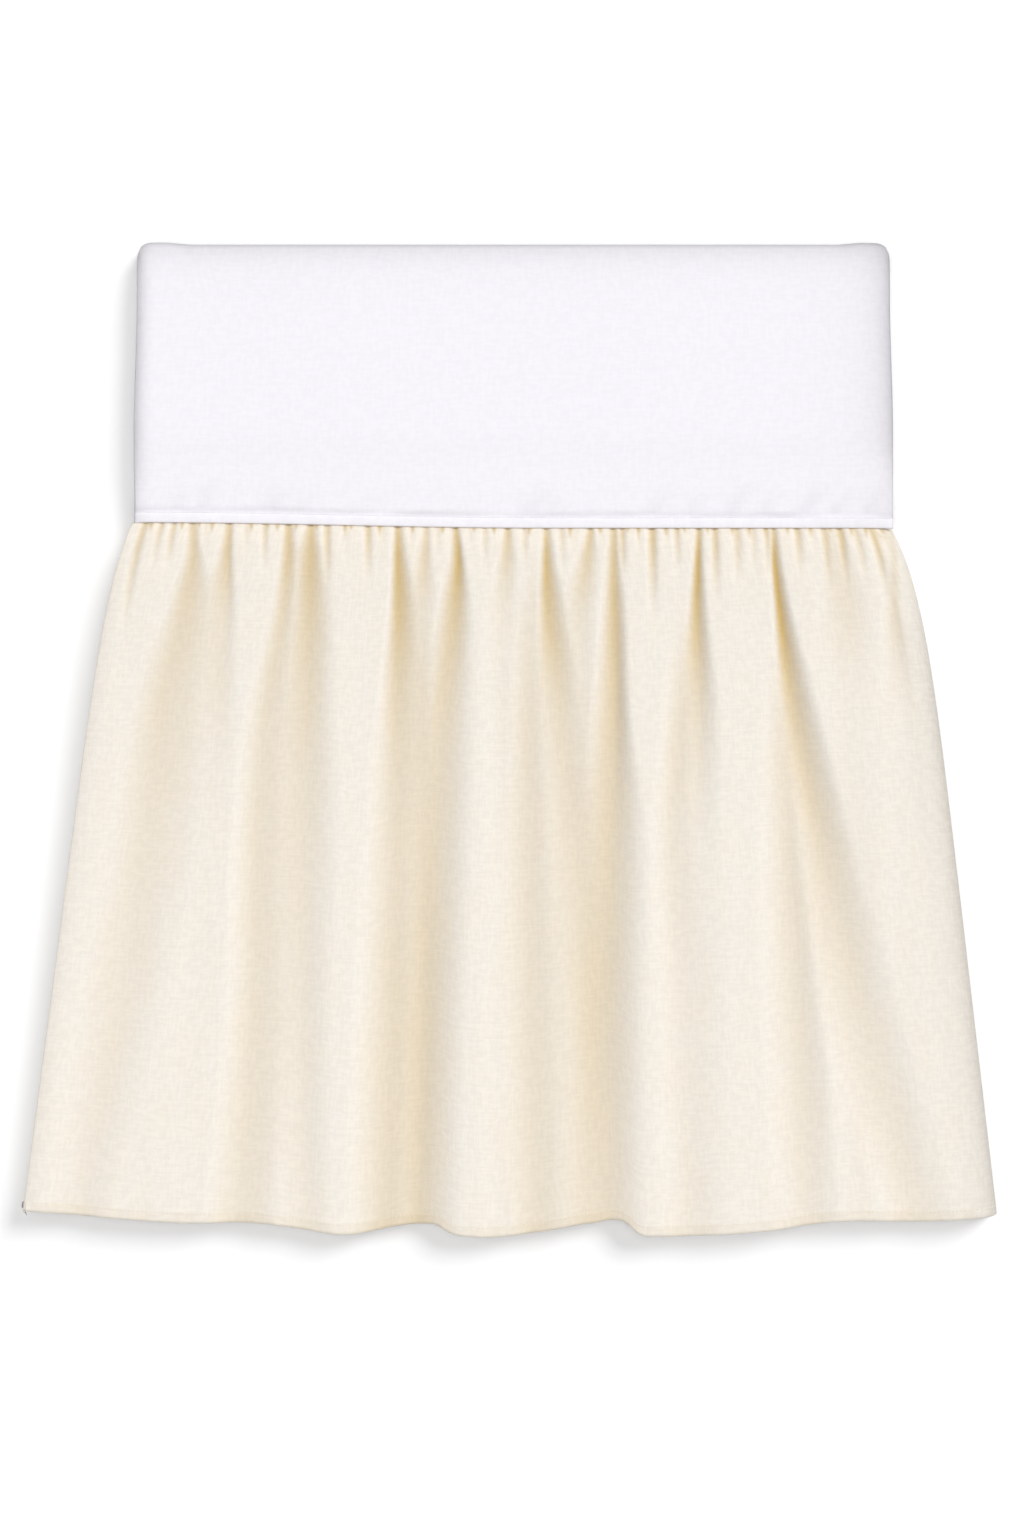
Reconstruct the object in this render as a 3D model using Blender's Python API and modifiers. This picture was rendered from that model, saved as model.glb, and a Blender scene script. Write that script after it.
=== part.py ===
# Bed skirt laid out face up: a folded white deck, a narrow band over the join, and a gathered drop panel.
#
# The panel's foot points to -Y and the deck's fold to +Y. While the shapes are worked out, Y is zero on
# the seam line and X is zero midway along it. The finished part is moved to stand on the middle of its box.
import math

import bmesh
import bpy
import numpy as np
from mathutils import Vector

MM = 0.001

# Driving dimensions
SEAM_HALF_WIDTH = 247.5 * MM  # half of a 39 inch deck that is folded in two
DECK_DEPTH = 186 * MM         # seam line to the deck's rear fold
DECK_CLOTH = 1.6 * MM
DECK_LAYERS = 8
DECK_HEIGHT = 23.6 * MM
DECK_PITCH = (DECK_HEIGHT - DECK_CLOTH) / (DECK_LAYERS - 1)
PANEL_CLOTH = 2.0 * MM
BAND_CLOTH = 1.5 * MM
BAND_WIDTH = 6.3 * MM
BAND_OVERHANG = 0.3 * MM      # how far the band's lower edge passes the seam line
SEAM_UNDERSIDE = 18.5 * MM    # height of the band's underside
SEAM_SAG_SHARE = 0.5          # the sewn seam rounds down half as much as the deck
SEAM_DIP = 0.7 * MM           # how far the line lies under the middle at the right
SEAM_RISE, RISE_FROM, RISE_OVER = 3.7 * MM, 25 * MM, 270 * MM  # and how it climbs towards the left
CLEARANCE = 0.3 * MM          # between pieces that are sewn together
BAND_MARGIN = 1.4 * MM        # the panel starts to rise this far below the seam line

# Drop panel: the side edges flare fast at the gathers, then fan out evenly down to the foot.
LEFT_FLARE, LEFT_FLARE_LENGTH, LEFT_FAN = 12.8 * MM, 43 * MM, 0.13
RIGHT_FLARE, RIGHT_FLARE_LENGTH, RIGHT_FAN = 16.8 * MM, 42 * MM, 0.115
LEFT_ROLL, RIGHT_ROLL = 5 * MM, 16 * MM  # how far in from the edge the cloth starts to turn down
LEFT_EDGE, RIGHT_EDGE = 0.97, 0.3  # height of the outermost line, as a share of the height where it turns
UNDER_ROLL = 6 * MM           # how far the cloth goes back in below the edge
TURN_UNDER = 45 * MM          # cloth that goes on behind the edge and lies on the surface
TOP_TUCK = 2.7 * MM           # panel's gathered edge under the band
SIDE_TUCK = 1.2 * MM          # its side edges lie this much lower there

# Height of the panel's crests on its way down, in millimetres
CREST_ROWS = (
    # below the seam, height
    (0, 18.6), (1.5, 19.4), (3, 20.3), (8, 22), (25, 23.5), (54, 23.5), (113, 23), (198, 22), (296, 21.5),
    (460, 21),
)

# The pleats are pressed flatter close to the seam
PRESSED_ROWS = (
    # below the seam in millimetres, share of the furrows' depth
    (0, 0.12), (20, 0.16), (50, 0.25), (113, 0.48), (198, 0.75), (452, 0.88),
)

# Main furrows, in millimetres. At these distances below the seam each one has its course across the panel
# and its depth, and on the next line its reach to the left and to the right.
STATIONS = (0, 20, 50, 113, 198, 296, 452)
FURROWS = (
    (
        (-209, -208.5, -214, -227, -240, -256, -284), (11.5, 11.3, 9, 7, 4.9, 4, 3),
        (6, 8, 14, 26, 30, 32, 26), (6, 8, 27, 40, 48, 36, 22),
    ),
    (
        (-185, -186, -187, -194, -201, -206, -214), (12.8, 12.5, 7.5, 4, 1, 0.5, 0),
        (6, 9, 24, 30, 28, 24, 24), (4, 5, 8, 16, 20, 22, 22),
    ),
    (
        (-147, -147, -149.5, -160.5, -168, -170, -180), (13.8, 13.2, 9.6, 7, 6, 6, 5),
        (5, 7, 10, 14, 18, 20, 26), (5, 9, 12, 26, 34, 38, 36),
    ),
    (
        (-132.5, -132, -133, -136, -140, -141, -138), (13.5, 13.8, 11.6, 8, 5.5, 4.3, 3),
        (5, 14, 18, 28, 36, 36, 30), (6, 10, 18, 22, 28, 24, 20),
    ),
    (
        (-76, -76, -76, -77, -78, -79, -84), (14.3, 16.3, 14.8, 9.6, 7, 7.8, 7.8),
        (4, 5, 7, 14, 22, 28, 30), (6, 9, 18, 22, 24, 28, 26),
    ),
    (
        (-57, -57.8, -60.5, -62, -62, -62, -66), (10, 9.5, 6, 7, 7, 7.5, 7.5),
        (4, 9, 15, 22, 26, 27, 26), (4, 6, 14, 18, 22, 22, 22),
    ),
    (
        (-38, -36.2, -38, -46.5, -52, -57, -62), (14.3, 17.2, 13.5, 9, 7.7, 7.8, 7.3),
        (5, 8, 15, 20, 24, 26, 26), (4, 5, 12, 23, 26, 28, 30),
    ),
    (
        (-4, -5, -8, -7, -5, -5, -5), (14.2, 9.5, 4, 2.5, 2, 2, 2),
        (4, 8, 12, 16, 18, 20, 20), (4, 9, 14, 16, 18, 20, 20),
    ),
    (
        (21, 20.6, 21.5, 29, 38, 42, 43), (12.5, 16, 14, 8, 6.5, 6, 4.8),
        (4, 5, 9, 26, 34, 36, 34), (5, 8, 16, 24, 23, 22, 24),
    ),
    (
        (14, 13, 11, 9, 8, 10, 14), (1, 2, 4, 6, 6, 6, 6),
        (8, 10, 14, 18, 22, 26, 28), (8, 10, 12, 18, 30, 38, 33),
    ),
    (
        (50, 47.5, 43.5, 44, 46, 46, 46), (13.8, 11, 6.5, 3.5, 5, 5, 4),
        (4, 9, 17, 16, 20, 20, 20), (4, 9, 13, 14, 18, 20, 20),
    ),
    (
        (65, 64.8, 65, 65.6, 61, 56, 57), (13.4, 13.6, 14, 11.5, 9, 9, 7),
        (5, 7, 10, 20, 31, 30, 28), (4, 6, 9, 11, 27, 32, 32),
    ),
    (
        (120.5, 119.5, 118.6, 119.5, 118, 120, 122), (14.4, 18.5, 15.8, 8, 2, 1.5, 1),
        (4, 4.5, 7.5, 20, 20, 22, 22), (4, 4.5, 8, 15, 18, 20, 20),
    ),
    (
        (114, 114, 112, 108.5, 102, 108, 114), (0, 0, 1, 6, 4.2, 3, 3),
        (8, 10, 12, 14, 16, 20, 22), (8, 8, 10, 12, 24, 26, 24),
    ),
    (
        (169, 169, 172, 180.4, 197, 218, 260), (13.4, 18.5, 18.3, 12.2, 8.2, 5.3, 3.5),
        (3, 3.5, 5, 12, 24, 38, 28), (4, 6, 8.5, 18, 28, 34, 34),
    ),
    (
        (175, 175, 175, 176, 178, 183, 191), (0, 0, 0, 5, 5.5, 5.2, 3.5),
        (8, 10, 14, 18, 22, 26, 26), (6, 8, 8, 12, 18, 24, 26),
    ),
    (
        (246, 247, 247, 252, 252, 256, 264), (7, 7, 7, 1.5, 0.5, 0.5, 0.5),
        (4, 5, 8, 22, 26, 28, 24), (4, 5, 7, 18, 24, 28, 24),
    ),
    (
        (208, 210, 215, 218, 219, 222, 226), (4, 5, 5, 1.5, 1.5, 2, 1),
        (14, 18, 24, 28, 28, 28, 26), (12, 18, 24, 26, 26, 28, 26),
    ),
)
GATHER_FAN = 8                # the higher, the fewer gathers follow the side edges
LEAST_REACH = 4 * MM          # a narrower furrow would slip between the panel's columns

# Small gathers between the furrows, in millimetres. They die away, and the outermost follow the side edges.
GATHERS = (
    # across at the seam, length, depth, reach
    (-239.5, 84, 11.5, 5), (-229, 36, 10.5, 4), (-221, 38, 11, 4), (-200, 26, 5, 4), (-174, 24, 6, 4),
    (-162, 38, 10, 4), (-121.5, 58, 11.5, 4.5), (-110, 24, 6, 4), (-95, 43, 12.5, 4.5), (-85.5, 24, 6, 4),
    (-67, 24, 5, 3.5), (-50, 26, 6, 3.5), (-29, 22, 5, 3.5), (-19, 34, 8, 4), (7, 36, 8.5, 4),
    (31, 36, 8.5, 4), (38.5, 22, 4, 3.5), (56, 22, 4, 3.5), (70.5, 44, 12.5, 4), (81, 22, 5, 3.5),
    (90, 68, 14.5, 5), (99, 24, 5, 3.5), (106, 40, 10, 4), (130.8, 58, 13.2, 4.5), (145, 46, 10.5, 5),
    (155.5, 36, 8, 4), (164.5, 40, 12, 3.5), (184.5, 38, 12.5, 4.5), (194, 26, 5, 3.5), (202, 60, 12, 5),
    (212, 60, 14.5, 5), (222, 46, 9.5, 4.5), (232.5, 60, 14, 5), (240, 40, 7, 4),
)

# Foot of the panel: how far below the seam line it lies, in millimetres
FOOT_ROWS = (
    # across at the foot, drop
    (-318, 445), (-277, 448.5), (-224, 452.5), (-160, 454), (-107, 460.5), (-62, 454.5), (-50, 455), (-43, 459),
    (-25, 462), (12, 460), (50, 454), (74, 454), (81, 460), (95, 461.5), (125, 461), (167, 458), (212, 452),
    (272, 452), (313, 449),
)

PANEL_ROWS = (-2.7, 1.3, 3.5, 7, 13, 21, 31, 44, 60, 80, 105, 135, 172, 218, 270, 330, 395, 452)
PANEL_COLUMNS = 136           # between the two side rolls
ROLL_STEPS = 6
RETURN_STEPS = 2

# The folded deck rounds down at both sides and at the rear: in from there, in millimetres, and the share of
# its height that it keeps
LEFT_SIDE = ((0, 0.72), (2, 0.84), (4, 0.91), (7, 0.97), (11, 1.0))
RIGHT_SIDE = (
    (0, 0.50), (1.5, 0.58), (3, 0.645), (7, 0.755), (12, 0.84), (20, 0.91), (35, 0.965), (60, 0.99),
    (90, 1.0),
)
REAR_SIDE = (
    (0, 0.55), (2, 0.66), (5, 0.76), (9, 0.83), (13, 0.88), (18, 0.925), (26, 0.965), (40, 0.99), (60, 1.0),
)
REAR_FOLD_REACH = 6 * MM
INNER_REAR_INSET = 2 * MM     # the inner folds end this far short of the outer one's middle
FOLD_STEPS = 4
REAR_FOLD_STEPS = 9
FRONT_SLOPE_LENGTH = 60 * MM
TOP_ROWS = (174, 169, 163, 155, 143, 126, 95, 60, 52, 44, 36, 28, 20, 13)  # behind the seam, in millimetres
NARROWING, NARROW_FROM, NARROW_OVER = 2 * MM, 60 * MM, 90 * MM  # the pad is narrower at the rear
REAR_FROM, REAR_OVER = 130 * MM, 50 * MM  # where the rear's own outline sets in
EAR = 1.4 * MM                # rear corners stand out a little where the side hems stack up
EAR_FROM, EAR_OVER = 0.86, 0.08  # as shares of the half width
CORNER_CUT = 4 * MM
CORNER_SHARE = 0.03           # of the half width, rounded off

# The folded layers, from the bottom one up, in millimetres. The top one goes on to the seam.
LAYER_ROWS = (
    # front end behind the seam line, how much shorter the layer is at the left and at the right
    (12, 2.0, 3.0), (12, 3.5, 7.0), (15.5, 1.5, 5.5), (15.5, 3.0, 8.0), (19, 4.0, 6.5), (19, 2.0, 8.5),
    (22, 3.0, 6.0),
)
ACROSS_STATIONS = (
    -1, -0.992, -0.984, -0.97, -0.955, -0.86, -0.7, -0.5, -0.3, -0.1, 0.1, 0.37, 0.64, 0.76, 0.86, 0.92, 0.95,
    0.97, 0.988, 1,
)
BAND_ROWS = 3
SLOPE_FOOT = BAND_WIDTH + 2 * CLEARANCE  # the deck lies level under the band up to here


def smooth_step(t):
    t = min(max(t, 0.0), 1.0)
    return t * t * (3 - 2 * t)


def curve_at(places, values, where):
    """Value at one place on a smooth curve through a table's rows."""
    places = np.asarray(places, dtype=float)
    values = np.asarray(values, dtype=float)
    where = min(max(where, places[0]), places[-1])
    slopes = np.gradient(values, places)
    i = min(int(np.searchsorted(places, where, side="right")) - 1, len(places) - 2)
    span = places[i + 1] - places[i]
    t = (where - places[i]) / span
    rise = (2 * t ** 3 - 3 * t ** 2 + 1) * values[i] + (3 * t ** 2 - 2 * t ** 3) * values[i + 1]
    turn = (t ** 3 - 2 * t ** 2 + t) * slopes[i] + (t ** 3 - t ** 2) * slopes[i + 1]
    return rise + turn * span


def seam_line(x):
    """The seam lies a little higher up at the left."""
    return -SEAM_DIP + SEAM_RISE * smooth_step((RISE_FROM - x) / RISE_OVER)


def kept_height(x):
    """Share of its full height that the deck keeps at x."""
    left = curve_at(*zip(*LEFT_SIDE), (SEAM_HALF_WIDTH + x) / MM)
    right = curve_at(*zip(*RIGHT_SIDE), (SEAM_HALF_WIDTH - x) / MM)
    return left * right


def kept_rear(y):
    """Share of its full height that the deck keeps at y."""
    return curve_at(*zip(*REAR_SIDE), (DECK_DEPTH - y) / MM)


def seam_height(x):
    """Underside of the band."""
    return SEAM_UNDERSIDE * (1 - SEAM_SAG_SHARE * (1 - kept_height(x)))


# ---- drop panel

def side_edge(below, side):
    """X of the panel's left or right edge at a distance below the seam."""
    if side < 0:
        flare, length, fan = LEFT_FLARE, LEFT_FLARE_LENGTH, LEFT_FAN
    else:
        flare, length, fan = RIGHT_FLARE, RIGHT_FLARE_LENGTH, RIGHT_FAN
    return side * (SEAM_HALF_WIDTH + flare * (1 - math.exp(-below / length)) + fan * below)


def fanned(x_at_seam, below):
    """Where a gather that leaves the seam at x_at_seam lies further down."""
    side = math.copysign(1, x_at_seam)
    edge_shift = side_edge(below, side) - side * SEAM_HALF_WIDTH
    return x_at_seam + edge_shift * (abs(x_at_seam) / SEAM_HALF_WIDTH) ** GATHER_FAN


def trough(offset, reach_left, reach_right):
    """Round-bottomed profile: one on the furrow's line, zero past its reach."""
    reach = reach_left if offset < 0 else reach_right
    t = min(abs(offset) / reach, 1.0)
    return (1 + math.cos(math.pi * t)) / 2


def fold_depth(x, below):
    """How far the cloth lies under its crests, from all furrows and gathers together."""
    v = max(below, 0.0) / MM
    total = 0.0
    for course, depth, left, right in FURROWS:
        middle = curve_at(STATIONS, course, v) * MM
        depth_here = max(curve_at(STATIONS, depth, v), 0.0)
        reach_left = max(curve_at(STATIONS, left, v) * MM, LEAST_REACH)
        reach_right = max(curve_at(STATIONS, right, v) * MM, LEAST_REACH)
        total += (depth_here * trough(x - middle, reach_left, reach_right)) ** 3
    for at_seam, length, depth, reach in GATHERS:
        if v < length:
            middle = fanned(at_seam * MM, below)
            depth_here = depth * (1 - smooth_step(v / length))
            reach_here = max(reach * MM, LEAST_REACH)
            total += (depth_here * trough(x - middle, reach_here, reach_here)) ** 3
    return total ** (1 / 3) * MM


def crest_height(below):
    places, heights = zip(*CREST_ROWS)
    return curve_at(places, heights, max(below, 0.0) / MM) * MM


def under_band(x, below, height, tuck=0.0):
    """The gathered edge stays below the band that covers it."""
    if below > BAND_MARGIN:
        return height
    return min(height, seam_height(x) - CLEARANCE - PANEL_CLOTH / 2 - tuck)


def panel_height(x, below):
    """Height of the middle of the cloth."""
    pressed = curve_at(*zip(*PRESSED_ROWS), max(below, 0.0) / MM)
    height = crest_height(below) - PANEL_CLOTH / 2 - fold_depth(x, below) * pressed
    return max(under_band(x, below, height), PANEL_CLOTH / 2)


def panel_y(x_at_foot, x, below):
    """The cloth's rows follow the seam line at the top and the foot's own line at the bottom."""
    places, drops = zip(*FOOT_ROWS)
    foot = -curve_at(places, drops, x_at_foot / MM) * MM
    share = below / (PANEL_ROWS[-1] * MM)
    return seam_line(x) * (1 - share) + foot * share


def panel_section(below):
    """One row of the panel from its left return, round both side rolls, to its right return: (x, z)."""
    left_inner = side_edge(below, -1) + LEFT_ROLL
    right_inner = side_edge(below, 1) - RIGHT_ROLL
    top = [(x, panel_height(x, below)) for x in np.linspace(left_inner, right_inner, PANEL_COLUMNS + 1)]
    left = panel_side(below, -1, LEFT_ROLL, LEFT_EDGE, top[0][1])
    right = panel_side(below, 1, RIGHT_ROLL, RIGHT_EDGE, top[-1][1])
    return left[::-1] + top + right


def panel_side(below, side, roll, edge_share, crest):
    """Points (x, z) round one side of the panel, from the end of its top to the end of its return."""
    floor = PANEL_CLOTH / 2
    turn = floor + edge_share * (crest - floor)
    edge = side_edge(below, side)
    points = []
    for step in range(1, 2 * ROLL_STEPS + 1):
        angle = math.pi / 2 * (1 - step / ROLL_STEPS)
        reach, rise = (roll, crest - turn) if angle >= 0 else (UNDER_ROLL, turn - floor)
        x = edge - side * reach * (1 - math.cos(angle))
        tuck = SIDE_TUCK * min(step / ROLL_STEPS, 1.0)
        points.append((x, under_band(x, below, turn + rise * math.sin(angle), tuck)))
    for step in range(1, RETURN_STEPS + 1):
        x = edge - side * (UNDER_ROLL + (TURN_UNDER - UNDER_ROLL) * step / RETURN_STEPS)
        points.append((x, floor))
    return points


def panel_place():
    sections = [panel_section(below * MM) for below in PANEL_ROWS]
    foot_section = sections[-1]

    def place(i, j):
        x, z = sections[j][i]
        return Vector((x, panel_y(foot_section[i][0], x, PANEL_ROWS[j] * MM), z))

    return place, len(foot_section) - 1, len(PANEL_ROWS) - 1


# ---- deck

def layer_height(level):
    return DECK_CLOTH / 2 + level * DECK_PITCH


def arc(y, z, reach, half, first, last, steps):
    """Points on an ellipse about (y, z), between two angles in degrees; zero points to the rear."""
    angles = np.radians(np.linspace(first, last, steps + 1))
    return [(y + reach * math.cos(angle), z + half * math.sin(angle)) for angle in angles]


def deck_path():
    """The folded cloth's section, from its free end inside the pad, over the rear fold, to the seam.

    Each point is (y, z, inset at the left, inset at the right), before the pad is squeezed. The lowest layer
    goes round the rear of the others and comes back as the top one.
    """
    half = DECK_PITCH / 2
    rear_middle = DECK_DEPTH - DECK_CLOTH / 2 - REAR_FOLD_REACH
    rear = rear_middle - INNER_REAR_INSET
    rows = np.array(LAYER_ROWS) * MM
    inner_top = DECK_LAYERS - 2
    path = [(rows[inner_top][0], layer_height(inner_top), rows[inner_top][1], rows[inner_top][2])]
    for level in range(inner_top, 0, -1):
        at_rear = (inner_top - level) % 2 == 0
        z = layer_height(level) - half
        left, right = (rows[level][1:] + rows[level - 1][1:]) / 2
        if at_rear:
            points = arc(rear - half, z, half, half, 90, -90, FOLD_STEPS)
        else:
            points = arc(rows[level - 1][0] + half, z, half, half, 90, 270, FOLD_STEPS)
        path += [(y, height, left, right) for y, height in points]
    bottom, top = layer_height(0), layer_height(DECK_LAYERS - 1)
    fold = arc(rear_middle, (bottom + top) / 2, REAR_FOLD_REACH, (top - bottom) / 2, -90, 90, REAR_FOLD_STEPS)
    for step, (y, z) in enumerate(fold):
        share = 1 - step / REAR_FOLD_STEPS
        path.append((y, z, rows[0][1] * share, rows[0][2] * share))
    path += [(y * MM, top, 0.0, 0.0) for y in TOP_ROWS]
    path += [(y, top, 0.0, 0.0) for y in (SLOPE_FOOT, TOP_TUCK + 2 * CLEARANCE)]
    return path


def slope_share(y):
    """Zero at the foot of the slope behind the band, one where the slope ends."""
    return smooth_step((y - SLOPE_FOOT) / (FRONT_SLOPE_LENGTH - SLOPE_FOOT))


def pad_height(x, y, z):
    """Height of a point of the folded pad once it is squeezed towards its sides, its rear and the seam."""
    bottom, top = layer_height(0), layer_height(DECK_LAYERS - 1)
    full = bottom + (top - bottom) * kept_height(x) * kept_rear(y)
    edge = seam_height(x) - CLEARANCE - DECK_CLOTH / 2
    return bottom + (z - bottom) * (edge + (full - edge) * slope_share(y) - bottom) / (top - bottom)


def deck_place():
    path = deck_path()
    on_top = len(path) - len(TOP_ROWS) - 2

    def place(i, j):
        across = ACROSS_STATIONS[i]
        y, z, inset_left, inset_right = path[j]
        half_width = SEAM_HALF_WIDTH - NARROWING * smooth_step((y - NARROW_FROM) / NARROW_OVER)
        x = across * (half_width - (inset_left if across < 0 else inset_right))
        height = pad_height(x * SEAM_HALF_WIDTH / half_width, y, z)
        rear_share = smooth_step((y - REAR_FROM) / REAR_OVER)
        corner = smooth_step((abs(across) - EAR_FROM) / EAR_OVER)
        into_corner = max(abs(across) - (1 - CORNER_SHARE), 0.0) / CORNER_SHARE
        cut = 1 - math.sqrt(max(1 - into_corner ** 2, 0.0))
        if j >= on_top:
            y += seam_line(x) * (1 - slope_share(y))
        y += rear_share * (EAR * corner - CORNER_CUT * cut)
        return Vector((x, y, height))

    return place, len(ACROSS_STATIONS) - 1, len(path) - 1


# ---- seam band

def band_place():
    def place(i, j):
        x = ACROSS_STATIONS[i] * SEAM_HALF_WIDTH
        y = seam_line(x) - BAND_OVERHANG + BAND_WIDTH * j / BAND_ROWS
        return Vector((x, y, seam_height(x) + BAND_CLOTH / 2))

    return place, len(ACROSS_STATIONS) - 1, BAND_ROWS


# ---- building

def cloth_material(name, colour, roughness):
    material = bpy.data.materials.new(name)
    material.use_nodes = True
    shader = material.node_tree.nodes["Principled BSDF"]
    shader.inputs["Base Color"].default_value = (*colour, 1)
    shader.inputs["Roughness"].default_value = roughness
    shader.inputs["Metallic"].default_value = 0.0
    return material


def cloth_piece(name, placing, thickness, material, collection, parent):
    """A grid laid along the piece's own surface, then given the cloth's thickness."""
    place, across, along = placing
    bm = bmesh.new()
    bmesh.ops.create_grid(bm, x_segments=across, y_segments=along, size=1.0)
    for vert in bm.verts:
        i = round((vert.co.x + 1) / 2 * across)
        j = round((vert.co.y + 1) / 2 * along)
        vert.co = place(i, j)
    mesh = bpy.data.meshes.new(name)
    bm.to_mesh(mesh)
    bm.free()
    piece = bpy.data.objects.new(name, mesh)
    piece.data.materials.append(material)
    piece.parent = parent
    collection.objects.link(piece)
    thicken = piece.modifiers.new("cloth", "SOLIDIFY")
    thicken.thickness = thickness
    thicken.offset = 0
    thicken.use_even_offset = True
    return piece


def stand_on_middle(pieces, empty):
    """Moves the part so that its box stands on the origin."""
    depsgraph = bpy.context.evaluated_depsgraph_get()
    corners = [Vector(corner) for piece in pieces for corner in piece.evaluated_get(depsgraph).bound_box]
    for axis in (0, 1):
        low = min(corner[axis] for corner in corners)
        high = max(corner[axis] for corner in corners)
        empty.location[axis] = -(low + high) / 2


def build():
    for item in list(bpy.data.objects):
        bpy.data.objects.remove(item, do_unlink=True)
    collection = bpy.data.collections.new("bed_skirt")
    bpy.context.scene.collection.children.link(collection)
    middle = bpy.data.objects.new("bed_skirt_middle", None)
    collection.objects.link(middle)

    white = cloth_material("deck_cotton", (0.90, 0.89, 0.92), 0.85)
    band_white = cloth_material("band_cotton", (0.93, 0.92, 0.94), 0.8)
    cream = cloth_material("panel_linen", (0.90, 0.84, 0.70), 0.9)
    pieces = [
        cloth_piece("deck", deck_place(), DECK_CLOTH, white, collection, middle),
        cloth_piece("seam_band", band_place(), BAND_CLOTH, band_white, collection, middle),
        cloth_piece("drop_panel", panel_place(), PANEL_CLOTH, cream, collection, middle),
    ]
    stand_on_middle(pieces, middle)


build()
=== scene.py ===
# A bed skirt laid out face up on a white table, seen from straight above.
# Lengths are in metres. Tables that say so are in millimetres, and mm turns them into metres.
import math

import bmesh
import bpy
import numpy as np
from mathutils import Matrix, Vector


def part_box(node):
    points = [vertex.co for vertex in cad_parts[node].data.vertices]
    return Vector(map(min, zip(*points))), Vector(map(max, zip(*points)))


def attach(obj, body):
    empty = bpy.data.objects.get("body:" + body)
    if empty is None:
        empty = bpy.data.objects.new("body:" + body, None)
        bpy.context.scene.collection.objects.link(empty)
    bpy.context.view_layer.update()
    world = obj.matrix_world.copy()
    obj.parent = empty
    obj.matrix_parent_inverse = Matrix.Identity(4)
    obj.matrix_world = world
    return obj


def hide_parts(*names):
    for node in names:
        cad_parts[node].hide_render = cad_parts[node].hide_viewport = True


mm = 0.001
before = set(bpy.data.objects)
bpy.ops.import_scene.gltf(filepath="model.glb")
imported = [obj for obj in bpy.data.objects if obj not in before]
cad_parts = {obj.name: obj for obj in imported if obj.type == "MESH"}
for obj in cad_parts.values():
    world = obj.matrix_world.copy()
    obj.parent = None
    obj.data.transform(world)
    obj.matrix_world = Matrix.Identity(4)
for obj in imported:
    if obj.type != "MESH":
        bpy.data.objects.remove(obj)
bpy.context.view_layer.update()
print("frame loaded:", ", ".join(sorted(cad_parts)))

# The seam line runs across at the lower edge of the band; every piece is placed from it.
bandLow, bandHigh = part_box("seam_band")
seam = {
    "x": (bandLow.x + bandHigh.x) / 2,
    "y": bandLow.y + 1.0 * mm,
    "halfWidth": 247.5 * mm,
    "underside": 18.5 * mm,   # of the band
    "sideDrop": 0.5,          # share of the deck's rounding at the sides that the band follows
    "clearance": 0.3 * mm,    # between band and deck
    "line": -0.7 * mm,        # the line's place at the right
    "rise": 3.7 * mm,         # it lies this much higher up at the left
    "riseFrom": 25 * mm,
    "riseOver": 270 * mm,
}


def smoothStep(t):
    t = np.clip(t, 0.0, 1.0)
    return t * t * (3 - 2 * t)


def curveThrough(places, values, where):
    places, values = np.asarray(places, float), np.asarray(values, float)
    where = np.clip(where, places[0], places[-1])
    slopes = np.gradient(values, places)
    i = np.clip(np.searchsorted(places, where, side="right") - 1, 0, len(places) - 2)
    span = places[i + 1] - places[i]
    t = (where - places[i]) / span
    rise = (2 * t**3 - 3 * t**2 + 1) * values[i] + (3 * t**2 - 2 * t**3) * values[i + 1]
    return rise + (t * (1 - t) ** 2 * slopes[i] - t**2 * (1 - t) * slopes[i + 1]) * span


def seamLine(x):
    return seam["line"] + seam["rise"] * smoothStep((seam["riseFrom"] - x) / seam["riseOver"])


# The folded deck rounds down at both sides: how far in from the side, in millimetres, and the share of its
# height that it keeps there
leftSide = ((0, 0.72), (2, 0.84), (4, 0.91), (7, 0.97), (11, 1.0))
rightSide = (
    (0, 0.50), (1.5, 0.58), (3, 0.645), (7, 0.755), (12, 0.84), (20, 0.91), (35, 0.965), (60, 0.99),
    (90, 1.0),
)


def keptHeight(x):
    left = curveThrough(*zip(*leftSide), (seam["halfWidth"] + x) / mm)
    right = curveThrough(*zip(*rightSide), (seam["halfWidth"] - x) / mm)
    return left * right


def seamHeight(x):
    return seam["underside"] * (1 - seam["sideDrop"] * (1 - keptHeight(x)))


def ripples(x, y, sizeX, sizeY, seed):
    # a few crossed waves with uneven phases, soft and with no repeat that shows
    phases = np.random.default_rng(seed).uniform(0, 2 * math.pi, (6, 2))
    total = 0
    for step, (first, second) in enumerate(phases):
        stretch = 1 + 0.37 * step
        sway = 0.9 * np.sin(y / sizeY + second)
        total = total + np.sin(x / sizeX * stretch + first + sway) / (1 + 0.5 * step)
    return total / 3


def sceneObject(name, bm):
    mesh = bpy.data.meshes.new(name)
    bm.to_mesh(mesh)
    bm.free()
    piece = bpy.data.objects.new(name, mesh)
    bpy.context.scene.collection.objects.link(piece)
    return piece


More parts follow.
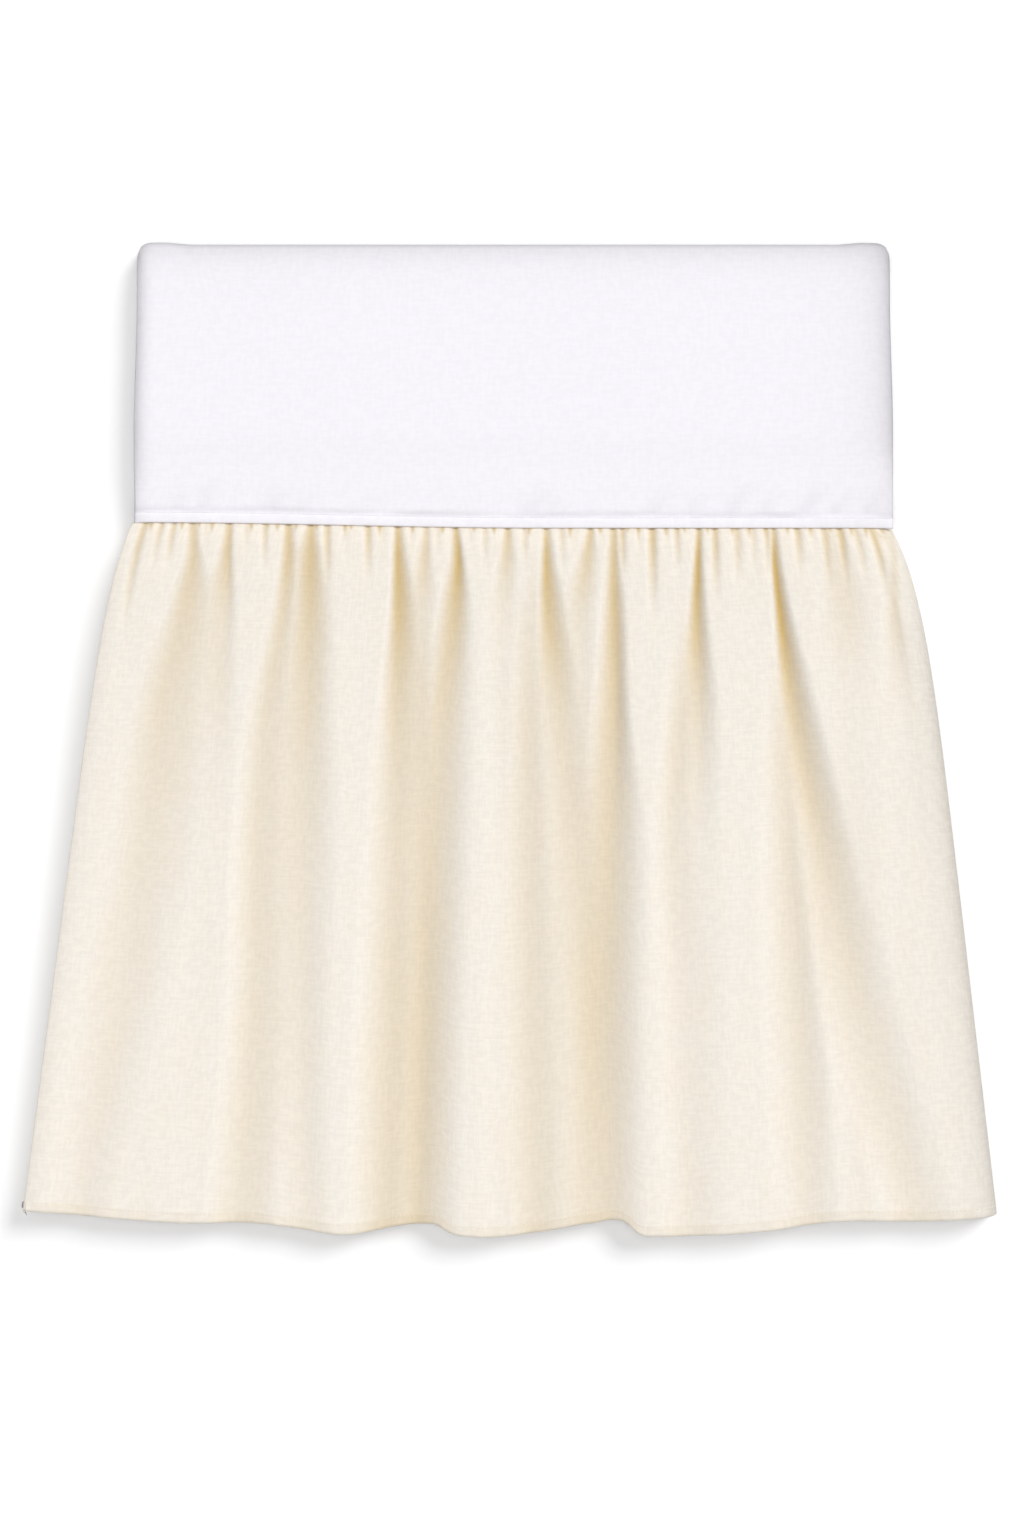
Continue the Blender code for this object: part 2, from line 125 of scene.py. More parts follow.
def clothPiece(name, shape, flatCut, values, cloth, material):
    # a grid whose cell corners go to the points that shape gives, with its flat cut as the UV map and the
    # named values as attributes
    along, across = shape.shape[0] - 1, shape.shape[1] - 1
    bm = bmesh.new()
    bmesh.ops.create_grid(bm, x_segments=across, y_segments=along, size=1)
    spots = np.array([vert.co[:2] for vert in bm.verts])
    i = np.rint((spots[:, 0] + 1) / 2 * across).astype(int)
    j = np.rint((spots[:, 1] + 1) / 2 * along).astype(int)
    points = shape[j, i] + (seam["x"], seam["y"], 0)
    for vert, point in zip(bm.verts, points):
        vert.co = point
    bm.verts.index_update()
    uvLayer = bm.loops.layers.uv.new("flatCut")
    for face in bm.faces:
        for loop in face.loops:
            spot = loop.vert.index
            loop[uvLayer].uv = (flatCut[0][i[spot]], flatCut[1][j[spot]])
        face.smooth = True
    piece = sceneObject(name, bm)
    for label, value in values.items():
        piece.data.attributes.new(label, "FLOAT", "POINT").data.foreach_set("value", value[j, i])
    solid = piece.modifiers.new("cloth thickness", "SOLIDIFY")
    solid.thickness = cloth
    solid.offset = 0
    solid.use_even_offset = True
    piece.data.materials.append(material)
    return piece


def wayAlong(points):
    # how far each point of a row lies from its first one, along the row
    return np.concatenate([[0], np.cumsum(np.linalg.norm(np.diff(points, axis=0), axis=1))])


def surfaceNormals(shape):
    along, across = np.gradient(shape, axis=0), np.gradient(shape, axis=1)
    normals = np.cross(along, across)
    return normals / np.maximum(np.linalg.norm(normals, axis=2, keepdims=True), 1e-12)


def stitchRow(name, points, normals, cloth, stitch, material):
    # one small bead of thread for each stitch, laid along a row of points on the face of the cloth
    way = wayAlong(points)
    places = np.arange(stitch["pitch"] / 2, way[-1], stitch["pitch"])

    def at(where, values):
        return np.stack([np.interp(where, way, values[:, k]) for k in range(3)], 1)

    centres, ups = at(places, points), at(places, normals)
    aheads = at(places + stitch["pitch"] / 4, points) - centres
    halfLength, radius, lift = stitch["length"] / 2, stitch["radius"], cloth / 2 + stitch["proud"]
    flattened = 0.8 * radius  # the thread is pressed a little flat
    bm = bmesh.new()
    for centre, up, ahead in zip(centres, ups, aheads):
        up, ahead = Vector(up).normalized(), Vector(ahead).normalized()
        side = up.cross(ahead).normalized()
        up = ahead.cross(side)
        turn = Matrix((ahead * halfLength, side * radius, up * flattened)).transposed().to_4x4()
        place = Matrix.Translation(Vector(centre) + up * lift + Vector((seam["x"], seam["y"], 0)))
        bmesh.ops.create_uvsphere(bm, u_segments=6, v_segments=4, radius=1, matrix=place @ turn)
    for face in bm.faces:
        face.smooth = True
    piece = sceneObject(name, bm)
    piece.data.materials.append(material)
    return piece


def wire(tree, kind, sockets=None, **settings):
    # a new node: each socket takes a value, or a link from another node's output
    node = tree.nodes.new(kind)
    for key, value in settings.items():
        setattr(node, key, value)
    for socket, value in (sockets or {}).items():
        if isinstance(value, bpy.types.NodeSocket):
            tree.links.new(value, node.inputs[socket])
        else:
            node.inputs[socket].default_value = value
    return node


def maths(tree, operation, first, second=0.0):
    return wire(tree, "ShaderNodeMath", {0: first, 1: second}, operation=operation).outputs[0]


def vectorMaths(tree, operation, first, second):
    return wire(tree, "ShaderNodeVectorMath", {0: first, 1: second}, operation=operation).outputs[0]


def newMaterial(name):
    material = bpy.data.materials.new(name)
    material.use_nodes = True
    return material, material.node_tree, material.node_tree.nodes["Principled BSDF"]


def newGroup(name, inputs, outputs):
    group = bpy.data.node_groups.new(name, "ShaderNodeTree")
    for label, kind in inputs:
        group.interface.new_socket(name=label, in_out="INPUT", socket_type=kind)
    for label in outputs:
        group.interface.new_socket(name=label, in_out="OUTPUT", socket_type="NodeSocketFloat")
    return group, wire(group, "NodeGroupInput"), wire(group, "NodeGroupOutput")


# noises of the weave, in cycles a metre across and along the flat cut
weaveNoise = {
    "slubs": ((900, 45, 1), (45, 900, 1)), "specks": ((420, 130, 1), (130, 420, 1)), "drift": (70, 22, 1),
    "slubStray": 1.2,    # threads that a thread strays by at its slubs
    "slubFrom": 0.55, "middle": 0.5,
}
# the cloth's colour is darkened by its painted shade, or lightened where that is below 0
paintedShadeWeight = 0.88        # how much of its colour the cloth loses where paintedLightAndShade is 1


def plainWeaveGroup():
    # crossing threads with uneven thickness; Vector is the flat cut in metres
    group, given, result = newGroup(
        "plain weave",
        [
            ("Vector", "NodeSocketVector"), ("Threads", "NodeSocketFloat"), ("Slub", "NodeSocketFloat"),
            ("Specks", "NodeSocketFloat"),
        ],
        ["Height", "Tone", "Drift"],
    )
    middle = weaveNoise["middle"]

    def noise(stretch, detail):
        run = vectorMaths(group, "MULTIPLY", given.outputs["Vector"], stretch)
        return wire(group, "ShaderNodeTexNoise", {"Vector": run, "Scale": 1.0, "Detail": detail}).outputs[0]

    place = wire(group, "ShaderNodeSeparateXYZ", {0: given.outputs["Vector"]})
    heights, tones = [], []
    for axis, stretch in enumerate(weaveNoise["slubs"]):
        slub = noise(stretch, 2.0)
        thread = maths(group, "MULTIPLY", place.outputs[axis], given.outputs["Threads"])
        strayed = maths(group, "ADD", thread, maths(group, "MULTIPLY", slub, weaveNoise["slubStray"]))
        wave = maths(group, "SINE", maths(group, "MULTIPLY", strayed, 2 * math.pi))
        heights.append(maths(group, "ABSOLUTE", wave))
        tones.append(slub)
    crossing = maths(group, "MAXIMUM", *heights)
    slubs = maths(group, "SUBTRACT", maths(group, "MAXIMUM", *tones), weaveNoise["slubFrom"])
    raised = maths(group, "MULTIPLY", slubs, given.outputs["Slub"])
    group.links.new(maths(group, "ADD", crossing, raised), result.inputs["Height"])
    tone = maths(group, "ADD", slubs, middle)
    for stretch in weaveNoise["specks"]:
        speck = maths(group, "SUBTRACT", noise(stretch, 1.0), middle)
        tone = maths(group, "ADD", tone, maths(group, "MULTIPLY", speck, given.outputs["Specks"]))
    group.links.new(tone, result.inputs["Tone"])
    blotch = noise(weaveNoise["drift"], 2.0)
    group.links.new(maths(group, "SUBTRACT", blotch, middle), result.inputs["Drift"])
    return group


def clothMaterial(name, look):
    # the colour goes from crest to the furrows' painted shade colour with the fold attribute, past that
    # colour where it is over 1; a second attribute paints shade on top, or light where it is below 0
    material, tree, shader = newMaterial(name)
    flat = wire(tree, "ShaderNodeUVMap", uv_map="flatCut")
    weave = wire(tree, "ShaderNodeGroup", {
        "Vector": flat.outputs[0],
        "Threads": look["threads"], "Slub": look["slub"], "Specks": look["specks"],
    }, node_tree=weaveGroup)
    folds = wire(tree, "ShaderNodeAttribute", attribute_name="paintedFoldShadeAndHemTone")
    base = wire(tree, "ShaderNodeMix", {
        0: folds.outputs["Fac"], 6: (*look["crest"], 1), 7: (*look["furrow"], 1),
    }, data_type="RGBA", blend_type="MIX", clamp_factor=False)
    mottle = wire(tree, "ShaderNodeMapRange", {
        0: weave.outputs["Tone"], 1: 0.3, 2: 0.7, 3: 1 - look["mottle"], 4: 1 + look["mottle"],
    })
    edge = wire(tree, "ShaderNodeAttribute", attribute_name="paintedLightAndShade")
    darker = maths(tree, "MULTIPLY", edge.outputs["Fac"], paintedShadeWeight)
    shade = maths(tree, "SUBTRACT", mottle.outputs[0], darker)
    shaded = vectorMaths(tree, "MULTIPLY", base.outputs[2], shade)
    drift = vectorMaths(tree, "MULTIPLY", weave.outputs["Drift"], look["drift"])
    drift = vectorMaths(tree, "ADD", drift, (1, 1, 1))
    tree.links.new(vectorMaths(tree, "MULTIPLY", shaded, drift), shader.inputs["Base Color"])
    bump = wire(tree, "ShaderNodeBump", {
        "Strength": look["bump"], "Distance": look["bumpDepth"], "Height": weave.outputs["Height"],
    })
    tree.links.new(bump.outputs[0], shader.inputs["Normal"])
    shader.inputs["Roughness"].default_value = look["roughness"]
    shader.inputs["Sheen Weight"].default_value = look["sheen"]
    shader.inputs["Sheen Roughness"].default_value = 0.5
    shader.inputs["Specular IOR Level"].default_value = 0.2
    return material


def threadMaterial(name, colour):
    material, tree, shader = newMaterial(name)
    place = wire(tree, "ShaderNodeTexCoord")
    twist = wire(tree, "ShaderNodeTexNoise", {"Vector": place.outputs["Object"], "Scale": 1500.0})
    tone = wire(tree, "ShaderNodeMapRange", {0: twist.outputs[0], 3: 0.9, 4: 1.05})
    tinted = vectorMaths(tree, "MULTIPLY", colour, tone.outputs[0])
    tree.links.new(tinted, shader.inputs["Base Color"])
    bump = wire(tree, "ShaderNodeBump", {"Strength": 0.4, "Distance": 0.0001, "Height": twist.outputs[0]})
    tree.links.new(bump.outputs[0], shader.inputs["Normal"])
    shader.inputs["Roughness"].default_value = 0.7
    return material


weaveGroup = plainWeaveGroup()
# crest is the cloth's own colour; furrow is the painted shade colour of its creases
linen = clothMaterial("cream linen-look cloth", {
    "crest": (0.855, 0.80, 0.722), "furrow": (0.64, 0.497, 0.275), "mottle": 0.03,
    "specks": 0.9, "drift": (0.02, -0.015, -0.07),
    "threads": 1400.0, "slub": 1.5, "bump": 0.5, "bumpDepth": 0.00012, "roughness": 0.85, "sheen": 0.1,
})
# crest is the cloth's own colour; furrow is a painted shade colour
cotton = clothMaterial("white cotton", {
    "crest": (0.862, 0.842, 0.888), "furrow": (0.647, 0.632, 0.666), "mottle": 0.014,
    "specks": 1.4, "drift": (0.012, 0.012, 0.012),
    "threads": 2000.0, "slub": 0.6, "bump": 0.35, "bumpDepth": 0.00008, "roughness": 0.8, "sheen": 0.05,
})
creamThread = threadMaterial("cream thread", (0.84, 0.77, 0.62))
whiteThread = threadMaterial("white thread", (0.86, 0.85, 0.88))
print("materials ready")

# The panel is gathered under the band, fans out towards the foot, and turns under itself at both sides.
panel = {
    "cloth": 0.9 * mm,
    "foot": 452 * mm,
    "tuck": 2.7 * mm, "tuckTo": 0.3 * mm,          # gathered edge under the band
    "underBandTo": 1.0 * mm, "bandGap": 0.1 * mm, "firstRow": 0.9 * mm,
    "leftFlare": 12.8 * mm, "leftFlareLength": 43 * mm, "leftFan": 0.13,
    "rightFlare": 16.8 * mm, "rightFlareLength": 42 * mm, "rightFan": 0.115,
    # a side rounds down over its roll to its edge, a share of its height, and then turns under
    "leftRoll": 5 * mm, "leftEdge": 0.97, "rightRoll": 16 * mm, "rightEdge": 0.3,
    "underRoll": 6 * mm, "turnUnder": 45 * mm,
    "gatherFan": 8,                                # only the outermost gathers fan out with the sides
    "uneven": 0.3 * mm, "unevenFrom": 40 * mm,
    "hem": 6.2 * mm,
    "hemLift": 1.15, "hemTurnOut": 0.35, "hemTurnDown": 0.5, "hemBack": 1.1,   # of the cloth's thickness
    # painted shade in the colour: furrows darker by their depth, a faint shade and ticks at the seam, less
    # on the side rolls; a darker hem; painted shade on the right roll and towards the side edges
    "toneDepth": 15.0, "tonePower": 1.25, "toneMost": 1.25,
    "paintedSeamShade": 0.11, "paintedSeamShadeLength": 22 * mm,
    "paintedTickShade": 1.25, "tickReach": 2.8 * mm, "tickTip": 0.35,
    "hemTone": 0.11, "hemToneOver": 1.5 * mm, "rollTone": 0.5,
    "leftMargin": 11 * mm, "leftMarginShade": 0.08,
    "rightMargin": 28 * mm, "rightMarginShade": 0.13, "marginOver": 80 * mm,
    "rightShade": 0.34, "rightShadeAtSeam": 0.55, "rightShadeOver": 150 * mm,
    "columns": 440, "rollSteps": 10, "returnSteps": 4,
    "tuckRows": 3, "rows": 78, "rowsPower": 1.5, "hemRows": 9, "turnedRows": 5,
    "stitchRowsUp": 4,
    "stitch": {"pitch": 2.74 * mm, "length": 2.1 * mm, "radius": 0.22 * mm, "proud": 0.08 * mm},
    "flatWidth": 0.81, "flatDrop": 0.463,
}

# height of the crests, in millimetres: below the seam, height
crestRows = (
    (0, 18.6), (1.5, 19.4), (3, 20.3), (8, 22), (25, 23.5), (54, 23.5), (113, 23), (198, 22), (296, 21.5),
    (460, 21),
)

# Main furrows, in millimetres. At these distances below the seam each one has its course across the panel
# and its depth, and on the next line its reach to the left and to the right.
stations = (0, 20, 50, 113, 198, 296, 452)
furrows = (
    (
        (-209, -208.5, -214, -227, -240, -256, -284), (11.5, 11.3, 9, 7, 4.9, 4, 3),
        (6, 8, 14, 26, 30, 32, 26), (6, 8, 27, 40, 48, 36, 22),
    ),
    (
        (-185, -186, -187, -194, -201, -206, -214), (12.8, 12.5, 7.5, 4, 1, 0.5, 0),
        (6, 9, 24, 30, 28, 24, 24), (4, 5, 8, 16, 20, 22, 22),
    ),
    (
        (-147, -147, -149.5, -160.5, -168, -170, -180), (13.8, 13.2, 9.6, 7, 6, 6, 5),
        (5, 7, 10, 14, 18, 20, 26), (5, 9, 12, 26, 34, 38, 36),
    ),
    (
        (-132.5, -132, -133, -136, -140, -141, -138), (13.5, 13.8, 11.6, 8, 5.5, 4.3, 3),
        (5, 14, 18, 28, 36, 36, 30), (6, 10, 18, 22, 28, 24, 20),
    ),
    (
        (-76, -76, -76, -77, -78, -79, -84), (14.3, 16.3, 14.8, 9.6, 7, 7.8, 7.8),
        (4, 5, 7, 14, 22, 28, 30), (6, 9, 18, 22, 24, 28, 26),
    ),
    (
        (-57, -57.8, -60.5, -62, -62, -62, -66), (10, 9.5, 6, 7, 7, 7.5, 7.5),
        (4, 9, 15, 22, 26, 27, 26), (4, 6, 14, 18, 22, 22, 22),
    ),
    (
        (-38, -36.2, -38, -46.5, -52, -57, -62), (14.3, 17.2, 13.5, 9, 7.7, 7.8, 7.3),
        (5, 8, 15, 20, 24, 26, 26), (4, 5, 12, 23, 26, 28, 30),
    ),
    (
        (-4, -5, -8, -7, -5, -5, -5), (14.2, 9.5, 4, 2.5, 2, 2, 2),
        (4, 8, 12, 16, 18, 20, 20), (4, 9, 14, 16, 18, 20, 20),
    ),
    (
        (21, 20.6, 21.5, 29, 38, 42, 43), (12.5, 16, 14, 8, 6.5, 6, 4.8),
        (4, 5, 9, 26, 34, 36, 34), (5, 8, 16, 24, 23, 22, 24),
    ),
    (
        (14, 13, 11, 9, 8, 10, 14), (1, 2, 4, 6, 6, 6, 6),
        (8, 10, 14, 18, 22, 26, 28), (8, 10, 12, 18, 30, 38, 33),
    ),
    (
        (50, 47.5, 43.5, 44, 46, 46, 46), (13.8, 11, 6.5, 3.5, 5, 5, 4),
        (4, 9, 17, 16, 20, 20, 20), (4, 9, 13, 14, 18, 20, 20),
    ),
    (
        (65, 64.8, 65, 65.6, 61, 56, 57), (13.4, 13.6, 14, 11.5, 9, 9, 7),
        (5, 7, 10, 20, 31, 30, 28), (4, 6, 9, 11, 27, 32, 32),
    ),
    (
        (120.5, 119.5, 118.6, 119.5, 118, 120, 122), (14.4, 18.5, 15.8, 8, 2, 1.5, 1),
        (4, 4.5, 7.5, 20, 20, 22, 22), (4, 4.5, 8, 15, 18, 20, 20),
    ),
    (
        (114, 114, 112, 108.5, 102, 108, 114), (0, 0, 1, 6, 4.2, 3, 3),
        (8, 10, 12, 14, 16, 20, 22), (8, 8, 10, 12, 24, 26, 24),
    ),
    (
        (169, 169, 172, 180.4, 197, 218, 260), (13.4, 18.5, 18.3, 12.2, 8.2, 5.3, 3.5),
        (3, 3.5, 5, 12, 24, 38, 28), (4, 6, 8.5, 18, 28, 34, 34),
    ),
    (
        (175, 175, 175, 176, 178, 183, 191), (0, 0, 0, 5, 5.5, 5.2, 3.5),
        (8, 10, 14, 18, 22, 26, 26), (6, 8, 8, 12, 18, 24, 26),
    ),
    (
        (246, 247, 247, 252, 252, 256, 264), (7, 7, 7, 1.5, 0.5, 0.5, 0.5),
        (4, 5, 8, 22, 26, 28, 24), (4, 5, 7, 18, 24, 28, 24),
    ),
    (
        (208, 210, 215, 218, 219, 222, 226), (4, 5, 5, 1.5, 1.5, 2, 1),
        (14, 18, 24, 28, 28, 28, 26), (12, 18, 24, 26, 26, 28, 26),
    ),
)

# Small gathers between the furrows, in millimetres: across at the seam, length, depth, reach
gathers = (
    (-239.5, 84, 11.5, 5), (-229, 36, 10.5, 4), (-221, 38, 11, 4), (-200, 26, 5, 4), (-174, 24, 6, 4),
    (-162, 38, 10, 4), (-121.5, 58, 11.5, 4.5), (-110, 24, 6, 4), (-95, 43, 12.5, 4.5), (-85.5, 24, 6, 4),
    (-67, 24, 5, 3.5), (-50, 26, 6, 3.5), (-29, 22, 5, 3.5), (-19, 34, 8, 4), (7, 36, 8.5, 4),
    (31, 36, 8.5, 4), (38.5, 22, 4, 3.5), (56, 22, 4, 3.5), (70.5, 44, 12.5, 4), (81, 22, 5, 3.5),
    (90, 68, 14.5, 5), (99, 24, 5, 3.5), (106, 40, 10, 4), (130.8, 58, 13.2, 4.5), (145, 46, 10.5, 5),
    (155.5, 36, 8, 4), (164.5, 40, 12, 3.5), (184.5, 38, 12.5, 4.5), (194, 26, 5, 3.5), (202, 60, 12, 5),
    (212, 60, 14.5, 5), (222, 46, 9.5, 4.5), (232.5, 60, 14, 5), (240, 40, 7, 4),
)

# Short ticks of painted shade where the stitches pull the cloth together, in millimetres: across at the
# seam, length
seamShadeTicks = (
    (-236, 7), (-216, 6), (-205, 4), (-196.5, 7), (-171, 6), (-160.5, 5), (-154, 6), (-142, 5), (-128.5, 5),
    (-110, 8), (-106, 4), (-87.5, 8), (-66, 6), (-46.5, 6), (-26, 4), (-13, 5), (10, 6), (36.5, 8), (56, 6),
    (74, 4), (81, 8), (99, 7), (106.5, 9), (111, 4), (126, 5), (142, 6), (153, 8), (163.5, 8), (178, 5),
    (193, 7), (206, 4), (219.5, 7), (229, 8), (240, 9),
)

# The pleats are pressed flatter close to the seam: below the seam, in millimetres, and the share of the
# tables' depth
pressedRows = ((0, 0.12), (20, 0.16), (50, 0.25), (113, 0.48), (198, 0.75), (452, 0.88))

# line of the foot, in millimetres: across at the foot, drop
footRows = (
    (-318, 445), (-277, 448.5), (-224, 452.5), (-160, 454), (-107, 460.5), (-62, 454.5), (-50, 455),
    (-43, 459), (-25, 462), (12, 460), (50, 454), (74, 454), (81, 460), (95, 461.5), (125, 461), (167, 458),
    (212, 452), (272, 452), (313, 449),
)


def sideEdge(below, side):
    key = "left" if side < 0 else "right"
    flare = panel[key + "Flare"] * (1 - np.exp(-below / panel[key + "FlareLength"]))
    return side * (seam["halfWidth"] + flare + panel[key + "Fan"] * below)


def foldDepth(x, below):
    # furrows that meet run together softly, as the cube root of their depths' cubes
    v = np.maximum(below, 0) / mm
    total = np.zeros_like(x)

    def press(middle, depth, left, right):
        offset = x - middle
        t = np.minimum(np.abs(offset) / np.where(offset < 0, left, right), 1)
        return (np.maximum(depth, 0) * (1 + np.cos(math.pi * t)) / 2) ** 3

    for course, depth, left, right in furrows:
        total += press(
            curveThrough(stations, course, v) * mm, curveThrough(stations, depth, v),
            curveThrough(stations, left, v) * mm, curveThrough(stations, right, v) * mm,
        )
    for atSeam, length, depth, reach in gathers:
        side = math.copysign(1, atSeam)
        edgeShift = sideEdge(below, side) - side * seam["halfWidth"]
        middle = atSeam * mm + edgeShift * (abs(atSeam) * mm / seam["halfWidth"]) ** panel["gatherFan"]
        total += press(middle, depth * (1 - smoothStep(v / length)), reach * mm, reach * mm)
    return np.cbrt(total) * mm


def paintedFurrowShade(x, below, depth):
    # painted shade: the deeper the furrow, the darker; ticks of painted shade and a faint painted shade lie
    # at the seam
    v = np.maximum(below, 0)
    tone = np.minimum((depth / mm / panel["toneDepth"]) ** panel["tonePower"], panel["toneMost"])
    tone = np.maximum(tone, panel["paintedSeamShade"] * np.exp(-v / panel["paintedSeamShadeLength"]))
    for atSeam, length in seamShadeTicks:
        left = np.clip(1 - v / (length * mm), 0, 1)
        reach = panel["tickReach"] * (panel["tickTip"] + (1 - panel["tickTip"]) * left)
        middle = np.clip(1 - np.abs(x - atSeam * mm) / reach, 0, 1)
        tone = np.maximum(tone, panel["paintedTickShade"] * np.sqrt(left) * middle)
    return tone


def underBand(x, below, height):
    # the gathered edge stays under the band
    limit = seamHeight(x) - panel["bandGap"] - panel["cloth"] / 2
    return np.where(below <= panel["underBandTo"], np.minimum(height, limit), height)


def paintedMarginShade(x, below):
    # painted shade: the cloth is a little darker towards its side edges
    total = 0
    for sign, key in ((-1, "left"), (1, "right")):
        share = 1 - sign * (sideEdge(below, sign) - x) / panel[key + "Margin"]
        total = total + panel[key + "MarginShade"] * np.clip(share, 0, 1)
    return total * smoothStep(below / panel["marginOver"])


def turnedSide(sign, below, inner):
    # the cloth rolls over at the side edge and runs back under the panel; inner is its height before that
    key = "left" if sign < 0 else "right"
    floor = panel["cloth"] / 2
    turn = floor + panel[key + "Edge"] * (inner - floor)
    edge = sideEdge(below, sign)
    angle = math.pi / 2 * (1 - np.arange(1, 2 * panel["rollSteps"] + 1) / panel["rollSteps"])[None, :]
    roll = np.where(angle >= 0, panel[key + "Roll"], panel["underRoll"])
    rollX = edge - sign * roll * (1 - np.cos(angle))
    rollZ = turn + np.where(angle >= 0, inner - turn, turn - floor) * np.sin(angle)
    rollZ = underBand(rollX, below, rollZ)
    share = (np.arange(1, panel["returnSteps"] + 1) / panel["returnSteps"])[None, :]
    backX = edge - sign * (panel["underRoll"] + (panel["turnUnder"] - panel["underRoll"]) * share)
    rows = np.broadcast_to(below, rollX.shape)
    fall = np.clip(1 - np.sin(angle), 0, 1)
    tone = paintedFurrowShade(rollX, rows, foldDepth(rollX, rows)) * (1 - panel["rollTone"] * fall) * (angle >= 0)
    # painted shade on the right roll, weaker near the seam, and towards the side edges
    shade = panel["rightShade"] * (sign > 0) * np.sqrt(np.broadcast_to(fall, rollX.shape))
    down = smoothStep(below / panel["rightShadeOver"])
    shade = shade * (panel["rightShadeAtSeam"] + (1 - panel["rightShadeAtSeam"]) * down)
    shade = shade + paintedMarginShade(rollX, below)
    plain = np.zeros_like(backX)
    pairs = ((rollX, backX), (rollZ, plain + floor), (tone, plain), (shade, plain))
    return [np.concatenate(pair, 1) for pair in pairs]


def turnedHem(shape, below):
    # the hem is turned to the back of the cloth and lies against it
    cloth = panel["cloth"]
    normals = surfaceNormals(shape)
    outward = shape[-1] - shape[-2]
    outward /= np.linalg.norm(outward, axis=1, keepdims=True)
    out, down = outward * panel["hemTurnOut"] * cloth, normals[-1] * panel["hemTurnDown"] * cloth
    turned = [shape[-1] + out - down]
    for back in np.linspace(0, panel["hem"], panel["turnedRows"]):
        row = np.stack([
            np.stack([np.interp(panel["foot"] - back, below, shape[:, k, n]) for n in range(3)])
            for k in range(shape.shape[1])
        ])
        turned.append(row - normals[-1] * panel["hemBack"] * cloth)
    return np.stack(turned)


def panelShape():
    cloth = panel["cloth"]
    hemFrom = panel["foot"] - 2 * panel["hem"]
    t = np.linspace(0, 1, panel["rows"]) ** panel["rowsPower"]
    below = np.concatenate([
        np.linspace(-panel["tuck"], panel["tuckTo"], panel["tuckRows"]),
        panel["firstRow"] + (hemFrom - panel["underBandTo"]) * t,
        np.linspace(hemFrom, panel["foot"], panel["hemRows"] + 1)[1:],
    ])
    rows = below[:, None]
    leftIn = sideEdge(rows, -1) + panel["leftRoll"]
    rightIn = sideEdge(rows, 1) - panel["rightRoll"]
    across = np.linspace(0, 1, panel["columns"] + 1)[None, :]
    x = leftIn + across * (rightIn - leftIn)
    downRows = np.broadcast_to(rows, x.shape)
    v = np.maximum(downRows, 0) / mm
    depth = foldDepth(x, downRows)
    z = curveThrough(*zip(*crestRows), v) * mm - cloth / 2 - depth * curveThrough(*zip(*pressedRows), v)
    uneven = panel["uneven"] * ripples(x, downRows, 14 * mm, 160 * mm, 4)
    z = underBand(x, downRows, z + uneven * smoothStep(downRows / panel["unevenFrom"]))
    overHem = smoothStep((downRows - panel["foot"] + 3 * panel["hem"]) / (2 * panel["hem"]))
    z = np.maximum(z, cloth / 2 + panel["hemLift"] * cloth * overHem)
    # the last hem's width is drawn a little darker, with the furrow colour
    hemShare = smoothStep((downRows - panel["foot"] + panel["hem"]) / panel["hemToneOver"])
    tone = paintedFurrowShade(x, downRows, depth) + panel["hemTone"] * hemShare

    leftX, leftZ, leftTone, leftShade = turnedSide(-1, rows, z[:, :1])
    rightX, rightZ, rightTone, rightShade = turnedSide(1, rows, z[:, -1:])
    allX = np.concatenate([leftX[:, ::-1], x, rightX], 1)
    allZ = np.concatenate([leftZ[:, ::-1], z, rightZ], 1)
    tones = np.concatenate([leftTone[:, ::-1], tone, rightTone], 1)
    shades = np.concatenate([leftShade[:, ::-1], paintedMarginShade(x, rows), rightShade], 1)

    drops = curveThrough(*zip(*footRows), allX[-1] / mm) * mm
    share = rows / panel["foot"]
    y = seamLine(allX) * (1 - share) - drops[None, :] * share
    shape = np.stack([allX, y, allZ], 2)
    turned = turnedHem(shape, below)
    shape = np.concatenate([shape, turned], 0)
    tones = np.concatenate([tones, np.repeat(tones[-1:], len(turned), 0)], 0)
    shades = np.concatenate([shades, np.repeat(shades[-1:], len(turned), 0)], 0)
    return shape, tones, shades, below


def makePanel():
    shape, tones, shades, below = panelShape()
    foot = len(below) - 1
    acrossFlat = wayAlong(shape[foot])
    pastFoot = np.linspace(0, panel["hem"], shape.shape[0] - len(below))
    downFlat = -np.concatenate([below, panel["foot"] + pastFoot])
    values = {"paintedFoldShadeAndHemTone": tones, "paintedLightAndShade": shades}
    piece = clothPiece("gatheredPanel", shape, (acrossFlat, downFlat), values, panel["cloth"], linen)
    print("panel cut width", round(float(acrossFlat[-1]), 3))
    normals = surfaceNormals(shape)
    row = foot - panel["stitchRowsUp"]
    stitches = stitchRow(
        "hemStitches", shape[row], normals[row], panel["cloth"], panel["stitch"], creamThread
    )
    return piece, stitches


panelPiece, hemStitches = makePanel()
print("drop panel done")

